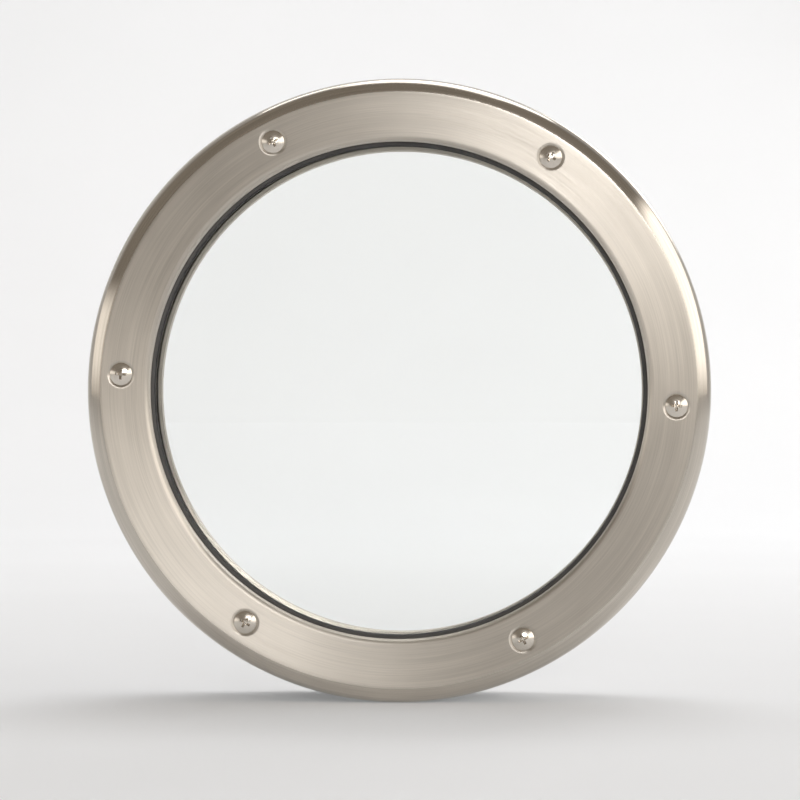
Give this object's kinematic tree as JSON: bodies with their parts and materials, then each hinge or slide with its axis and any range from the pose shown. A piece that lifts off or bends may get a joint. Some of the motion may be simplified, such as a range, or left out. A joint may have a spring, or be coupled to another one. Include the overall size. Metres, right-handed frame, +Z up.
{
  "type": "round porthole window",
  "caption": "Round glazed porthole for a door leaf: brushed steel rings screwed together through a round cut-out, with a clear pane, gaskets and a steel liner.",
  "frame": {"origin": "on the porthole's axis, in the plane of the door leaf's front face", "axes": "+Z up, +Y along the porthole's axis from the front of the leaf to its rear, +X to the right seen from the front"},
  "size_m": [0.26, 0.0574, 0.26],
  "materials": {
    "ring_steel": "stainless steel, brushed round the ring, with a polished rim and lip",
    "liner_steel": "rolled stainless steel, satin",
    "fastener_steel": "stainless steel, cold formed and tumbled bright",
    "pane_glass": "clear safety glass with ground edges",
    "gasket_rubber": "black rubber, moulded, matte",
    "seal_foam": "closed cell rubber foam, dark grey"
  },
  "bodies": {
    "root": {"front_ring": "ring_steel", "rear_ring": "ring_steel", "front_rim_seal": "seal_foam", "rear_rim_seal": "seal_foam", "front_gasket": "gasket_rubber", "rear_gasket": "gasket_rubber", "glass_pane": "pane_glass", "liner_tube": "liner_steel", "screw_1": "fastener_steel", "screw_2": "fastener_steel", "screw_3": "fastener_steel", "screw_4": "fastener_steel", "screw_5": "fastener_steel", "screw_6": "fastener_steel", "sleeve_nut_1": "fastener_steel", "sleeve_nut_2": "fastener_steel", "sleeve_nut_3": "fastener_steel", "sleeve_nut_4": "fastener_steel", "sleeve_nut_5": "fastener_steel", "sleeve_nut_6": "fastener_steel"}
  },
  "joints": []
}
